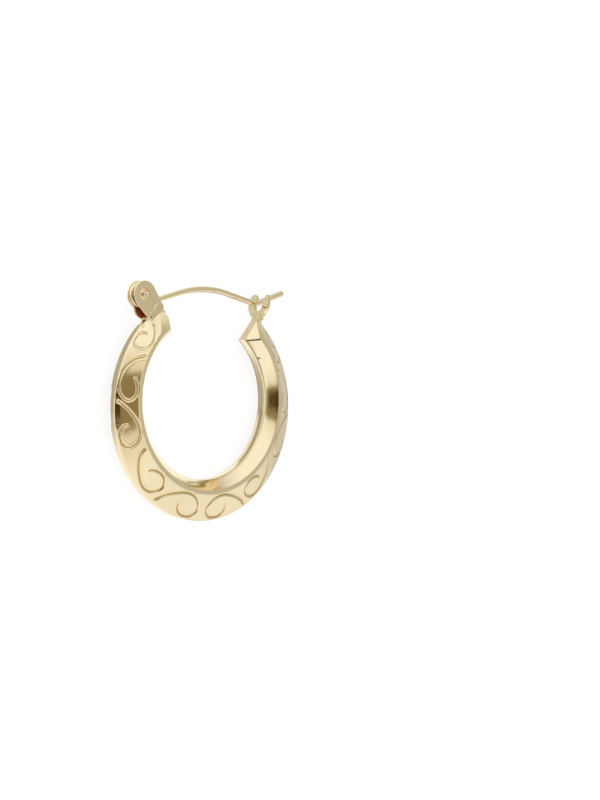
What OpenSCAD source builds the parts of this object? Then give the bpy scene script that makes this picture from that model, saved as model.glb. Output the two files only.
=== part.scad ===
// Creole hoop earring with a saddle-back clasp, lying on its side.
// Millimetres. The hoop's axis is +Z, its front face is up, and the clasp is toward +Y.
// The shapes are drawn round the centre of the rim circle, in the middle of the hoop's
// thickness, and placed() then sets the whole on the origin.

/* [Hoop] */
// Outside diameter of the hoop, across its rim
hoop_d = 25; // [24:0.5:28]
// Diameter inside the front and back ridges
ridge_d = 19.6; // [19.2:0.1:20]
// Diameter of the narrow band in the middle of the inner face
bore_d = 17.5; // [17:0.1:18]
// How far the ridge circle sits toward the clasp, which makes the hoop's bottom heavier
ridge_rise = 0.7; // [0.4:0.1:0.9]
// How far the inner band's circle sits toward the clasp
bore_rise = 0.84; // [0.6:0.02:1]
// Thickness of the hoop, from the back ridge to the front ridge
depth = 3.5; // [3.2:0.1:4.2]
// Width of the narrow rim
rim_w = 0.86; // [0.6:0.02:1.2]
// Width of the narrow band in the middle of the inner face
bore_w = 1.14; // [0.8:0.02:1.4]
// Radial width of the flat land on each ridge
land_w = 0.4; // [0.2:0.05:0.6]
// Angle from the top at which the rim ends
rim_end = 34; // [33:0.5:36]
// Angle from the top at which the inner band ends
bore_end = 34; // [33:0.5:37]
// Angle from the top at which the ridges end
ridge_end = 38.4; // [37:0.2:40]
// Angle from the top where the lands begin to spread toward the ends
flare_start = 47; // [44:1:60]
// Diameter of the vent hole in the inner face
vent_d = 0.28; // [0.2:0.02:0.4]

/* [Scrolls] */
// Width of an engraved line
groove_w = 0.32; // [0.15:0.01:0.4]
// Depth of an engraved line
groove_depth = 0.1; // [0.04:0.01:0.15]

/* [Hinge bracket] */
// Angle of the bracket's foot from the top
bracket_angle = 38; // [37:0.2:40]
// How far the bracket leans outward from the rim's radius
bracket_lean = 5; // [0:0.5:8]
// Height of the rivet's centre above the rim
pivot_h = 2.36; // [2.3:0.01:2.6]
// Radius of the rounded ears
ear_r = 1.48; // [1.45:0.01:1.6]
// Thickness of the bracket's sheet
ear_t = 0.22; // [0.2:0.02:0.3]
// Clear space between the two ears
slot_w = 0.9; // [0.8:0.02:1]
// Diameter of the rivet's shank
rivet_d = 0.6; // [0.4:0.02:0.7]
// Diameter of the rivet's heads
rivet_head_d = 1; // [0.8:0.02:1.2]
// Height of a rivet head
rivet_head_h = 0.1; // [0.05:0.01:0.2]

/* [Catch] */
// Diameter of the round plate that holds the wire
catch_d = 3; // [2.8:0.1:3.2]
// Thickness of the plate
catch_t = 0.58; // [0.4:0.02:0.7]
// Diameter of the round hole in the plate
catch_hole_d = 1.1; // [0.9:0.05:1.2]
// Width of the slot where the wire rests
neck_w = 0.84; // [0.8:0.02:0.9]
// Width of the slot at its open end
mouth_w = 1.8; // [1.2:0.1:1.9]

/* [Ear wire] */
// Diameter of the ear wire
wire_d = 0.65; // [0.6:0.01:0.68]
// Outside diameter of the round flat eye at the wire's hinge end
eye_d = 2.8; // [2.6:0.05:2.9]
// Thickness of the eye
eye_t = 0.5; // [0.4:0.02:0.56]
// Clearance of the eye round the rivet, on the radius
eye_gap = 0.04; // [0.02:0.01:0.08]

/* [Hidden] */
$fn = 48;
HOOP_GOLD = [0.86, 0.75, 0.52];
RIVET_GOLD = [0.80, 0.69, 0.42];
WIRE_GOLD = [0.84, 0.71, 0.46];

rim_r = hoop_d / 2;
sections = 113;
slack = 0.01;

// Distance from the rim circle's centre to a circle that sits higher by rise.
// The angle runs from the bottom of the hoop.
function reach(radius, rise, angle) =
    -rise * cos(angle) + sqrt(pow(radius, 2) - pow(rise * sin(angle), 2));
function ease(x) = let (t = max(0, min(1, x))) t * t * (3 - 2 * t);
function mix(a, b, t) = a + (b - a) * t;
function unit(v) = v / norm(v);

// The lengthwise edges of the hoop's front half, from the inner band to the rim.
// Columns: radius of the edge's circle, its rise, height above the middle, angle from the top
// where the edge ends, and how far it has spread outward and dropped when it gets there.
RADIUS = 0;
RISE = 1;
HEIGHT = 2;
END = 3;
SPREAD = 4;
DROP = 5;
EDGES = [
    [bore_d / 2, bore_rise, bore_w / 2, bore_end, 0, 0],
    [ridge_d / 2, ridge_rise, depth / 2, ridge_end, 0, 0],
    [ridge_d / 2 + land_w / 2, ridge_rise, depth / 2, rim_end + 0.3, 0.78, 0.5],
    [ridge_d / 2 + land_w, ridge_rise, depth / 2, rim_end + 0.1, 1.33, 1],
    [rim_r, 0, rim_w / 2, rim_end, 0, 0],
];
BORE = 0;
RIDGE = 1;
LAND = 3;
RIM = 4;

// A point of an edge, at an angle from the bottom, on the front (side 1) or the back (side -1)
function edge_point(e, angle, side) =
    let (
        flare = ease((abs(angle) - 180 + flare_start) / (flare_start - e[END])),
        r = reach(e[RADIUS], e[RISE], angle) + e[SPREAD] * flare
    )
    [r * sin(angle), -r * cos(angle), side * (e[HEIGHT] - e[DROP] * flare)];

// One section of the hoop: the front edges from the inner band to the rim, then the back ones.
// The share of the way runs from -1, at the bracket, to 1, at the catch.
function section(share) = [
    for (e = EDGES) edge_point(e, share * (180 - e[END]), 1),
    for (i = [RIM:-1:BORE]) edge_point(EDGES[i], share * (180 - EDGES[i][END]), -1),
];

// The walls between rings of a tube, each ring with the same count of points
function walls(rings, count) = [
    for (i = [0:rings - 2], j = [0:count - 1])
        let (a = i * count, b = a + count, k = (j + 1) % count)
        each [[a + j, b + j, b + k], [a + j, b + k, a + k]]
];

// An end of the hoop: a flat strip from the inner band to the rim, and slanted facets beside it
function end_facets() = let (n = RIM + 1) [
    for (i = [BORE:RIM - 2]) [RIM, i, i + 1],
    [BORE, RIM, n],
    [BORE, n, n + RIM],
    for (i = [n:n + RIM - 2]) [n, i + 1, i + 2],
];
function turned(faces, first) = [for (f = faces) [f[2], f[1], f[0]] + [first, first, first]];

module hoop_body() {
    count = 2 * (RIM + 1);
    polyhedron(
        points = [
            for (i = [0:sections - 1]) each section(2 * i / (sections - 1) - 1)
        ],
        faces = [
            each end_facets(),
            each walls(sections, count),
            each turned(end_facets(), (sections - 1) * count),
        ]
    );
}

// The engraved scroll: a stem that swings in from one side of the facet and curls back.
// Columns: share of the scroll's length along the hoop, share of the way across the facet.
MOTIF = [
    [0.00, 0.86],
    [0.08, 0.62],
    [0.20, 0.40],
    [0.34, 0.23],
    [0.50, 0.12],
    [0.67, 0.09],
    [0.83, 0.17],
    [0.95, 0.35],
    [1.00, 0.56],
    [0.96, 0.74],
    [0.86, 0.87],
    [0.72, 0.90],
    [0.60, 0.83],
    [0.52, 0.70],
    [0.50, 0.56],
];

// The scrolls of one half of a face; the other half mirrors them.
// Columns: angle of the stem's tip from the bottom of the hoop, length in degrees, 1 for a stem
// that starts at the rim or -1 for one that starts at the ridge, and how much the stem bows back.
SCROLLS = [
    [31.5, 28.3, 1, 0],
    [61.2, 27.9, -1, 0.12],
    [89.7, 25.1, 1, 0],
    [116.7, 26.4, -1, 0],
    [138.5, 19.2, 1, 0],
];
// Share of a scroll's length at which the stem ends, and the first point past it
curl_start = 0.75;
crest = 6;

// A point of the engraved facet, at a share of the way from the land to the rim
function facet_point(angle, share, side) =
    mix(edge_point(EDGES[LAND], angle, side), edge_point(EDGES[RIM], angle, side), share);
function facet_normal(angle, side) =
    let (
        along = facet_point(angle + 1, 0.5, side) - facet_point(angle - 1, 0.5, side),
        across = facet_point(angle, 1, side) - facet_point(angle, 0, side),
        n = unit(cross(along, across))
    )
    n[2] * side > 0 ? n : -n;

// A cutter that follows one scroll, three-sided, with its point down in the metal
module groove(scroll, half, side) {
    place = [
        for (i = [0:len(MOTIF) - 1])
            let (
                m = MOTIF[i],
                on_stem = i < crest ? sin(180 * m[0] / curl_start) : 0,
                across = m[1] + scroll[3] * on_stem
            )
            [half * (scroll[0] - m[0] * scroll[1]), scroll[2] > 0 ? across : 1 - across]
    ];
    last = len(place) - 1;
    spine = [for (p = place) facet_point(p[0], p[1], side)];
    proud = groove_depth / 2;
    half_w = groove_w / 2 * (1 + proud / groove_depth);
    rings = [
        for (i = [0:last])
            let (
                n = facet_normal(place[i][0], side),
                way = unit(spine[min(i + 1, last)] - spine[max(i - 1, 0)]),
                wide = half_w * unit(cross(way, n))
            )
            each [
                spine[i] + n * proud + wide,
                spine[i] + n * proud - wide,
                spine[i] - n * groove_depth,
            ]
    ];
    polyhedron(
        points = rings,
        faces = [[2, 1, 0], each turned(walls(last + 1, 3), 0), [3 * last, 3 * last + 1, 3 * last + 2]]
    );
}

module scrolls() {
    for (scroll = SCROLLS, half = [-1, 1], side = [-1, 1]) {
        groove(scroll, half, side);
    }
}

// A small blind hole on the inner facet, close to the inner band
module vent() {
    vent_angle = 129;
    vent_share = 0.15;
    vent_depth = 0.3;
    low = edge_point(EDGES[BORE], vent_angle, 1);
    high = edge_point(EDGES[RIDGE], vent_angle, 1);
    slope = atan2(high[2] - low[2], norm([high[0], high[1]]) - norm([low[0], low[1]]));
    translate(mix(low, high, vent_share))
        rotate([0, 0, vent_angle - 90])
            rotate([0, -slope, 0])
                cylinder(d = vent_d, h = 2 * vent_depth, center = true, $fn = 12);
}

module at_bracket() {
    rotate([0, 0, bracket_angle])
        translate([0, rim_r, 0])
            rotate([0, 0, bracket_lean])
                children();
}

// A folded strip, soldered on the rim, with two round ears that carry the rivet
module bracket() {
    foot_w = 1.2;
    foot_drop = 0.32;
    web_top = 0.24;
    outer = slot_w + 2 * ear_t;
    at_bracket() {
        difference() {
            for (side = [-1, 1]) {
                translate([0, 0, side * (slot_w + ear_t) / 2])
                    linear_extrude(ear_t, center = true)
                        union() {
                            translate([0, pivot_h])
                                circle(ear_r);
                            polygon([
                                [-ear_r, pivot_h],
                                [-foot_w, -foot_drop],
                                [foot_w, -foot_drop],
                                [ear_r, pivot_h],
                            ]);
                        }
            }
            translate([0, pivot_h, 0])
                cylinder(d = rivet_d + 4 * slack, h = outer + 1, center = true);
        }
        translate([-foot_w, -foot_drop, -outer / 2 + slack])
            cube([2 * foot_w, foot_drop + web_top, outer - 2 * slack]);
    }
}

// Where the catch's plate stands: its lowest point, just outside the rim's end
catch_angle = 34.9;
catch_gap = 0.14;
catch_lean = 9;
catch_side = 0.1;
hole_h = 1.35;
wire_h = 1.7;

module at_catch() {
    rotate([0, 0, -catch_angle])
        translate([0, rim_r + catch_gap, catch_side])
            rotate([0, 0, catch_angle - catch_lean])
                children();
}

// A round plate across the wire's path, with a keyhole that is open at the top
module catch() {
    foot = [0.8, 0.75, rim_w - 2 * slack];
    at_catch() {
        difference() {
            translate([0, catch_d / 2, 0])
                rotate([0, 90, 0])
                    cylinder(d = catch_d, h = catch_t, center = true);
            translate([0, hole_h, 0])
                rotate([0, 90, 0])
                    cylinder(d = catch_hole_d, h = catch_t + 1, center = true);
            rotate([0, 90, 0])
                linear_extrude(catch_t + 1, center = true)
                    polygon([
                        [-neck_w / 2, hole_h],
                        [neck_w / 2, hole_h],
                        [neck_w / 2, wire_h],
                        [mouth_w / 2, catch_d],
                        [-mouth_w / 2, catch_d],
                        [-neck_w / 2, wire_h],
                    ]);
        }
        translate([-catch_t / 2 + slack, -0.5, -foot[2] / 2 - catch_side])
            cube(foot);
    }
}

module placed() {
    translate([0, -(tip[1] + wire_d / 2 - rim_r) / 2, depth / 2])
        children();
}

module hoop() {
    color(HOOP_GOLD)
        placed() {
            difference() {
                hoop_body();
                scrolls();
                vent();
            }
            bracket();
            catch();
        }
}

module hinge_rivet() {
    head_z = slot_w / 2 + ear_t + slack;
    color(RIVET_GOLD)
        placed()
            at_bracket()
                translate([0, pivot_h, 0]) {
                    cylinder(d = rivet_d, h = 2 * head_z + rivet_head_h, center = true);
                    for (side = [-1, 1]) {
                        translate([0, 0, side * (head_z + rivet_head_h / 2)])
                            cylinder(d = rivet_head_d, h = rivet_head_h, center = true);
                    }
                }
}

// The ear wire's route from its eye to its tip, as a walk on the hoop's plane.
// Columns: radius of the bend (0 where the wire is straight), and the length of a straight
// or the angle of a bend, which is positive to the left.
ROUTE = [
    [0, 4.7],
    [16, -18.6],
    [10.5, -10.6],
    [0, 4.2],
    [1.2, 30],
    [0, 3.75],
];
first_heading = 18.8;
// How far below the rivet the wire joins its eye
root_drop = 1.05;

function is_bend(step) = step[0] > 0;
function step_length(step) = is_bend(step) ? step[0] * abs(step[1]) * PI / 180 : step[1];
function ahead(at, distance) =
    [at[0] + distance * cos(at[2]), at[1] + distance * sin(at[2]), at[2]];

// The walker's place and heading [x, y, heading] after a share of one step of the route
function walk(at, step, share = 1) =
    is_bend(step)
        ? let (r = sign(step[1]) * step[0], after = at[2] + share * step[1])
            [at[0] + r * (sin(after) - sin(at[2])), at[1] - r * (cos(after) - cos(at[2])), after]
        : ahead(at, share * step[1]);

pivot = rim_r * [-sin(bracket_angle), cos(bracket_angle)]
    + pivot_h * [-sin(bracket_angle + bracket_lean), cos(bracket_angle + bracket_lean)];
root = [
    pivot[0] + root_drop * sin(first_heading),
    pivot[1] - root_drop * cos(first_heading),
    first_heading,
];
function stop(i) = i == 0 ? root : walk(stop(i - 1), ROUTE[i - 1]);
tip = stop(len(ROUTE));

wire_sides = 12;
ring_gap = 0.45;

// A ring of the wire at a place on the route
function ring(at, radius) = [
    for (k = [0:wire_sides - 1])
        let (turn = 360 * k / wire_sides, out = radius * cos(turn))
        [at[0] - out * sin(at[2]), at[1] + out * cos(at[2]), radius * sin(turn)]
];

// The rings of the wire from the eye to its rounded tip
function wire_rings() = let (r = wire_d / 2) [
    ring(root, r),
    for (i = [0:len(ROUTE) - 1])
        let (count = is_bend(ROUTE[i]) ? ceil(step_length(ROUTE[i]) / ring_gap) : 1)
        for (k = [1:count]) ring(walk(stop(i), ROUTE[i], k / count), r),
    for (turn = [30, 60, 80]) ring(ahead(tip, r * sin(turn)), r * cos(turn)),
];

module wire_tube() {
    rings = wire_rings();
    last = (len(rings) - 1) * wire_sides;
    polyhedron(
        points = [for (points = rings) each points],
        faces = [
            [for (k = [0:wire_sides - 1]) k],
            each walls(len(rings), wire_sides),
            [for (k = [wire_sides - 1:-1:0]) last + k],
        ]
    );
}

module ear_wire() {
    color(WIRE_GOLD)
        placed()
            difference() {
                union() {
                    translate([pivot[0], pivot[1], 0])
                        cylinder(d = eye_d, h = eye_t, center = true);
                    wire_tube();
                }
                translate([pivot[0], pivot[1], 0])
                    cylinder(d = rivet_d + 2 * eye_gap, h = 2 * wire_d, center = true);
            }
}

hoop();
hinge_rivet();
ear_wire();
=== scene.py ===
"""The looks of the creole hoop earring, in metres, in the frame of its CAD model.

The shapes are worked out in millimetres round the centre of the rim circle, with x to the catch
side, y to the ear wire and s to the front face, and to_world() places them. Angles along the hoop
are degrees from its bottom, and a share along it runs from -1 at the hinge to 1 at the catch.
"""

import math

import bmesh
import bpy
import numpy as np
from mathutils import Matrix, Vector


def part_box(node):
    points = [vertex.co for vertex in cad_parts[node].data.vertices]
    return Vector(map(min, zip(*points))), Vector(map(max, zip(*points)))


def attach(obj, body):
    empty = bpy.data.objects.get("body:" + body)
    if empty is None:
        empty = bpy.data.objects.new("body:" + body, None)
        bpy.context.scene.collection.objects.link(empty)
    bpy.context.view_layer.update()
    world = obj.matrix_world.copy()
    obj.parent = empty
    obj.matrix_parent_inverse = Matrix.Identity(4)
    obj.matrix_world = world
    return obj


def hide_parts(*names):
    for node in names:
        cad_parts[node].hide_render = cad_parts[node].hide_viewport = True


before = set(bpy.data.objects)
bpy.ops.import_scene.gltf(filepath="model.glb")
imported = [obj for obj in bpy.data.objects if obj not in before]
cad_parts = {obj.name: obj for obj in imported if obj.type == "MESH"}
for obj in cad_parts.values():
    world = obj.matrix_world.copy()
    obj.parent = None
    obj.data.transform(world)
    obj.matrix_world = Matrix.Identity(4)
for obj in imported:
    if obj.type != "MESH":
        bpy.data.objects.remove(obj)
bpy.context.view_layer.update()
HOOP_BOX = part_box("hoop")
MM = 0.001

# Sizes of the hoop, as in the source
RIM_R = 12.5
DEPTH = (HOOP_BOX[1].z - HOOP_BOX[0].z) / MM
CENTRE_Y = HOOP_BOX[0].y / MM + RIM_R
RIDGE_R = 9.8
RIDGE_RISE = 0.7
BORE_R = 8.75
BORE_RISE = 0.84
LAND_W = 0.4
RIM_W = 0.86
BORE_W = 1.14
RIM_END = 34.0
BORE_END = 34.0
RIDGE_END = 38.4
FLARE_START = 47.0


def to_world(points):
    """Points (x, y, s) in millimetres round the rim's centre, as world metres."""
    points = np.asarray(points, float)
    return (points + [0, CENTRE_Y, DEPTH / 2]) * MM


def reach(radius, rise, angle):
    """Distance from the rim's centre to a circle that sits higher by rise, at an angle."""
    return -rise * np.cos(angle) + np.sqrt(radius**2 - (rise * np.sin(angle)) ** 2)


def ease(x):
    """0 below 0, 1 above 1, smooth between."""
    t = np.clip(x, 0, 1)
    return t * t * (3 - 2 * t)


def mix(a, b, t):
    return a + (b - a) * t


def unit(v):
    return v / np.maximum(np.linalg.norm(v, axis=-1, keepdims=True), 1e-12)


# The lengthwise edges of the front half: radius, rise, height, end angle, spread, drop, rounding
BORE = (BORE_R, BORE_RISE, BORE_W / 2, BORE_END, 0, 0, 0.16)
RIDGE = (RIDGE_R, RIDGE_RISE, DEPTH / 2, RIDGE_END, 0, 0, 0.14)
LAND_MID = (RIDGE_R + LAND_W / 2, RIDGE_RISE, DEPTH / 2, RIM_END + 0.3, 0.78, 0.5, 0)
LAND = (RIDGE_R + LAND_W, RIDGE_RISE, DEPTH / 2, RIM_END + 0.1, 1.33, 1.0, 0.14)
RIM = (RIM_R, 0, RIM_W / 2, RIM_END, 0, 0, 0.2)
FRONT = (BORE, RIDGE, LAND_MID, LAND, RIM)
# The back shell's ends slope more, so that the front of each end hides them from the camera
BACK_SLOPE = 4.6
BACK_LAND_SLOPE = 2.0
BACK = (
    BORE,
    (*RIDGE[:3], RIDGE_END + BACK_SLOPE, *RIDGE[4:]),
    (*LAND_MID[:3], RIM_END + BACK_SLOPE, *LAND_MID[4:]),
    (*LAND[:3], RIM_END + BACK_LAND_SLOPE, *LAND[4:]),
    RIM,
)


def edge_line(edge, share):
    """Points (x, y, s) of a front edge, at shares from -1 at the hinge to 1 at the catch."""
    radius, rise, height, end, spread, drop, _ = edge
    angle = np.radians(share * (180 - end))
    flare = ease((np.abs(share) * (180 - end) - 180 + FLARE_START) / (FLARE_START - end))
    r = reach(radius, rise, angle) + spread * flare
    return np.stack([r * np.sin(angle), -r * np.cos(angle), height - drop * flare], axis=-1)


def mirrored(points):
    return points * [1, 1, -1]


# How many pieces each stretch of the section is cut into
BORE_CUTS = 2
INNER_CUTS = 3
FACET_CUTS = 56
RIM_CUTS = 1
ROUND_CUTS = 3
SECTIONS = 1210
# How many of the sections next to each end are halved
FINE_ENDS = 14
# How much lower the inner facet reaches at the hoop's bottom, and over how many degrees
BORE_DIP = 0.28
DIP_SPREAD = 24
# Where the facet's outer part is pressed steeper: angles from the bottom, share of the way across
# where it starts, and how far the rim's edge goes down
PRESSED = (-97.0, -94.5, -79.5, -76.0)
PRESSED_FROM = 0.8
PRESSED_DROP = 0.16


def rounded_corner(before, corner, after, size):
    """Rows of points that round a corner, of ROUND_CUTS + 1 points each, along the sections."""
    a = corner + unit(before - corner) * size
    b = corner + unit(after - corner) * size
    t = np.linspace(0, 1, ROUND_CUTS + 1)[:, None, None]
    return list((1 - t) ** 2 * a + 2 * t * (1 - t) * corner + t**2 * b)


def between(a, b, cuts):
    """The rows strictly between two rows of points."""
    return [mix(a, b, k / cuts) for k in range(1, cuts)]


def half_section(share, edges=FRONT):
    """Rows of points from the middle of the inner band to the middle of the rim, front side.

    Returns the rows, the index of the ridge's corner and those of the engraved facet's ends.
    """
    bore, ridge, land_mid, land, rim = (edge_line(edge, share) for edge in edges)
    bore[:, 2] -= BORE_DIP * np.exp(-((share * (180 - BORE_END) / DIP_SPREAD) ** 2))
    bore_mid = bore * [1, 1, 0]
    rim_mid = rim * [1, 1, 0]
    rows = [bore_mid]
    corner = rounded_corner(bore_mid, bore, ridge, BORE[-1])
    rows += between(rows[-1], corner[0], BORE_CUTS) + corner
    corner = rounded_corner(bore, ridge, land_mid, RIDGE[-1])
    rows += between(rows[-1], corner[0], INNER_CUTS)
    ridge_row = len(rows) + (ROUND_CUTS + 1) // 2
    rows += corner + [land_mid]
    corner = rounded_corner(land_mid, land, rim, LAND[-1])
    rows += corner
    facet_start = len(rows) - 1
    angle = share * (180 - RIM_END)
    a, b, c, d = PRESSED
    pressed = ease((angle - a) / (b - a)) * ease((d - angle) / (d - c))
    bend = mix(rows[-1], rounded_corner(land, rim, rim_mid, RIM[-1])[0], PRESSED_FROM)
    rim[:, 2] -= PRESSED_DROP * pressed
    corner = rounded_corner(bend, rim, rim_mid, RIM[-1])
    flat_cuts = round(FACET_CUTS * PRESSED_FROM)
    rows += between(rows[-1], bend, flat_cuts) + [bend]
    rows += between(bend, corner[0], FACET_CUTS - flat_cuts)
    facet_end = len(rows)
    rows += corner
    rows += between(rows[-1], rim_mid, RIM_CUTS) + [rim_mid]
    return np.array(rows), ridge_row, facet_start, facet_end


def add_object(name, vertices, faces):
    mesh = bpy.data.meshes.new(name)
    mesh.from_pydata([tuple(v) for v in vertices], [], [tuple(f) for f in faces])
    mesh.validate()
    mesh.update()
    obj = bpy.data.objects.new(name, mesh)
    bpy.context.scene.collection.objects.link(obj)
    return obj


def quads(columns, rows, first=0, closed=True):
    """Faces between columns of points, each with the same count of rows in a ring."""
    j = np.arange(rows if closed else rows - 1)
    k = (j + 1) % rows
    a = (first + np.arange(columns - 1) * rows)[:, None]
    return np.stack([a + j, a + k, a + rows + k, a + rows + j], axis=-1).reshape(-1, 4)


def zipped(a, b):
    """Triangles between two lines of points with different counts, given by their indices."""
    faces = []
    i = j = 0
    while i < len(a) - 1 or j < len(b) - 1:
        step_a = (i + 1) / max(len(a) - 1, 1) <= (j + 1) / max(len(b) - 1, 1)
        if j == len(b) - 1 or (step_a and i < len(a) - 1):
            faces.append((a[i], a[i + 1], b[j]))
            i += 1
        else:
            faces.append((a[i], b[j + 1], b[j]))
            j += 1
    return [f for f in faces if len(set(f)) == 3]


# The engraved scroll: share of its length along the hoop, share of the way across the facet
MOTIF = [
    (0.00, 0.86), (0.08, 0.62), (0.20, 0.40), (0.34, 0.23), (0.50, 0.12), (0.67, 0.09),
    (0.83, 0.17), (0.95, 0.35), (1.00, 0.56), (0.96, 0.74), (0.86, 0.87), (0.72, 0.90),
    (0.60, 0.83), (0.52, 0.70), (0.50, 0.56),
]
# Angle of the stem's tip from the bottom, length in degrees, side, how much the stem bows, and
# the share of the line that was cut
SCROLLS = [
    (31.5, 28.3, 1, 0, 1),
    (61.2, 27.9, -1, 0.12, 0.96),
    (89.7, 25.1, 1, 0, 1),
    (116.7, 26.4, -1, 0, 0.91),
    (138.5, 19.2, 1, 0, 1),
]
# Where the stem's bow ends along the scroll, and how many of the motif's points it takes
CURL_START = 0.75
CREST = 6
CURVE_STEPS = 12
GROOVE_W = 0.40
GROOVE_DEPTH = 0.12
GROOVE_POWER = 0.8
# A groove starts wider, by a share that dies away over a share of its length
GROOVE_START = (0.25, 0.05)
# It ends narrower: by how much, from where and over what share of its length
GROOVE_TAPER = (0.2, 0.9, 0.1)
# The burr along each side: height, and its place and spread in half widths of the groove
LIP = (0.01, 1.25, 0.35)


def facet_point(angle, share):
    """Points of the flat engraved facet, angle in degrees from the bottom."""
    land = edge_line(LAND, angle / (180 - LAND[3]))
    rim = edge_line(RIM, angle / (180 - RIM[3]))
    return mix(land, rim, share[:, None])


def smooth_curve(points, steps):
    """A Catmull-Rom curve through the points."""
    p = np.asarray(points, float)
    p = np.vstack([2 * p[0] - p[1], p, 2 * p[-1] - p[-2]])
    t = np.linspace(0, 1, steps, endpoint=False)[:, None]
    out = []
    for a, b, c, d in zip(p[:-3], p[1:-2], p[2:-1], p[3:]):
        out.append(
            0.5 * (2 * b + (c - a) * t + (2 * a - 5 * b + 4 * c - d) * t**2
                   + (3 * b - a - 3 * c + d) * t**3)
        )
    return np.vstack(out + [p[-2:-1]])


def scroll_lines():
    """The lines of all the scrolls on the front: points, directions and shares of the length."""
    lines = []
    for start, length, side, bow, cut in SCROLLS:
        for half in (-1, 1):
            chart = []
            for i, (along, across) in enumerate(MOTIF):
                if i < CREST:
                    across += bow * math.sin(math.pi * along / CURL_START)
                angle = half * (start - along * length)
                chart.append((angle, across if side > 0 else 1 - across))
            curve = smooth_curve(chart, CURVE_STEPS)
            curve = curve[: round(len(curve) * cut)]
            points = facet_point(curve[:, 0], curve[:, 1])
            share = np.linspace(0, 1, len(points))
            lines.append((points, unit(np.gradient(points, axis=0)), share))
    return lines


def groove_depth(points):
    """How deep the engraving is at each point of the front facet."""
    depth = np.zeros(len(points))
    wider, wider_for = GROOVE_START
    narrower, narrower_from, narrower_for = GROOVE_TAPER
    lip_h, lip_at, lip_spread = LIP
    for line, way, share in scroll_lines():
        low = line.min(0) - GROOVE_W
        high = line.max(0) + GROOVE_W
        near = np.where(((points > low) & (points < high)).all(1))[0]
        if not len(near):
            continue
        delta = points[near][:, None, :] - line[None, :, :]
        gap = np.linalg.norm(delta, axis=2)
        best = gap.argmin(1)
        step = delta[np.arange(len(near)), best]
        inside = (best > 0) & (best < len(line) - 1)
        along = (step * way[best]).sum(1)
        across = np.linalg.norm(step - along[:, None] * way[best], axis=1)
        d = np.where(inside, across, np.linalg.norm(step, axis=1))
        s = share[best]
        wide = GROOVE_W / 2 * (1 + wider * np.exp(-s / wider_for))
        wide = wide * (1 - narrower * ease((s - narrower_from) / narrower_for))
        x = d / wide
        cut = GROOVE_DEPTH * (1 - ease(x) ** GROOVE_POWER)
        lip = lip_h * np.exp(-(((x - lip_at) / lip_spread) ** 2))
        found = np.where(x < 1, cut, 0) - lip
        depth[near] = np.where(np.abs(found) > np.abs(depth[near]), found, depth[near])
    return depth


# How far the edge of each mitred end is rounded, and the height from which, and over which, the
# rounding turns from the hoop's middle to the middle of the end's facet
END_ROUND = 0.07
END_LEAN = (0.35, 0.4)
# A small dent beside the hinge: angle, distance from the middle, size and depth
DENT = (-131.6, 12.6, 0.27, 0.2)
# Where the heat of soldering has dulled the gold: two angles, and how much
DULLED = (-128.0, -142.0, 0.6)
# Towards the hinge the engraving is made lighter and less dull: two angles, and how much
LIGHTER_GROOVES = (113.0, 121.0, 0.65)
# How dark the painted shade along the corner of the inner band is, how much darker near the ends,
# from which angle and over how many degrees
CORNER_SHADE = (0.2, 0.35, 95, 40)
# The crease at each mitred end: millimetres from the end, half width and depth; how deep it is at
# the bore against the ridge; and how strongly painted shade darkens it
CREASE = (0.20, 0.06, 0.14)
CREASE_TAPER = 0.3
CREASE_SHADE = 2.2


def dent_depth(points):
    """How deep the dent is at each point."""
    angle, distance, size, depth = DENT
    way = math.radians(angle)
    centre = distance * np.array([math.sin(way), -math.cos(way)])
    gap = np.linalg.norm(points[..., :2] - centre, axis=-1)
    return depth * np.exp(-((gap / size) ** 2))


def add_layer(obj, name, values):
    """A number at each point that the gold's material reads."""
    layer = obj.data.attributes.new(name, "FLOAT", "POINT")
    layer.data.foreach_set("value", np.asarray(values, np.float32).ravel())


def press(rows, depth):
    """Push a patch of the front's rows in, square to its surface."""
    normal = unit(np.cross(np.gradient(rows, axis=1), np.gradient(rows, axis=0)))
    normal *= np.sign(normal[..., 2:3])
    rows -= normal * depth[..., None]


def rounded_ends(rings, edges):
    """The shell's rings of points, with four more at each mitred end that round its edge."""
    for end, next_in in ((0, 1), (-1, -2)):
        loop = rings[end]
        tip_bore, tip_ridge, tip_rim = (
            edge_line(edges[i], np.array([-1.0 if end == 0 else 1.0]))[0] for i in (0, 1, 4)
        )
        strip = (tip_bore + tip_rim) / 2 * [1, 1, 0]
        facet_centre = (tip_bore + tip_ridge + tip_rim) / 3
        lean = ease((loop[:, 2] - END_LEAN[0]) / END_LEAN[1])[:, None]
        inset = loop + unit(mix(strip, facet_centre, lean) - loop) * END_ROUND
        new = [
            (1 - t) ** 2 * rings[next_in] + 2 * t * (1 - t) * loop + t**2 * inset
            for t in (0.25, 0.5, 0.75, 1.0)
        ]
        rings = new[::-1] + rings[1:] if end == 0 else rings[:-1] + new
    return rings


def shell_faces(length, count, bore_row, ridge_row, rim_row):
    """Faces of a shell with length rings of count points: its outside, its flat back, its ends."""
    faces = [tuple(f) for f in quads(length, count, closed=False)]
    first = np.arange(length - 1) * count
    faces += [(a, a + count, a + 2 * count - 1, a + count - 1) for a in first]
    ends = ((0, bore_row, count - 1, rim_row), (bore_row, ridge_row, rim_row, ridge_row))
    for start in (0, (length - 1) * count):
        for a, b, c, d in ends:
            inner_line = [start + i for i in range(a, b + 1)]
            outer_line = [start + i for i in range(c, d - 1, -1)]
            faces += zipped(inner_line, outer_line)
    return faces


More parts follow.
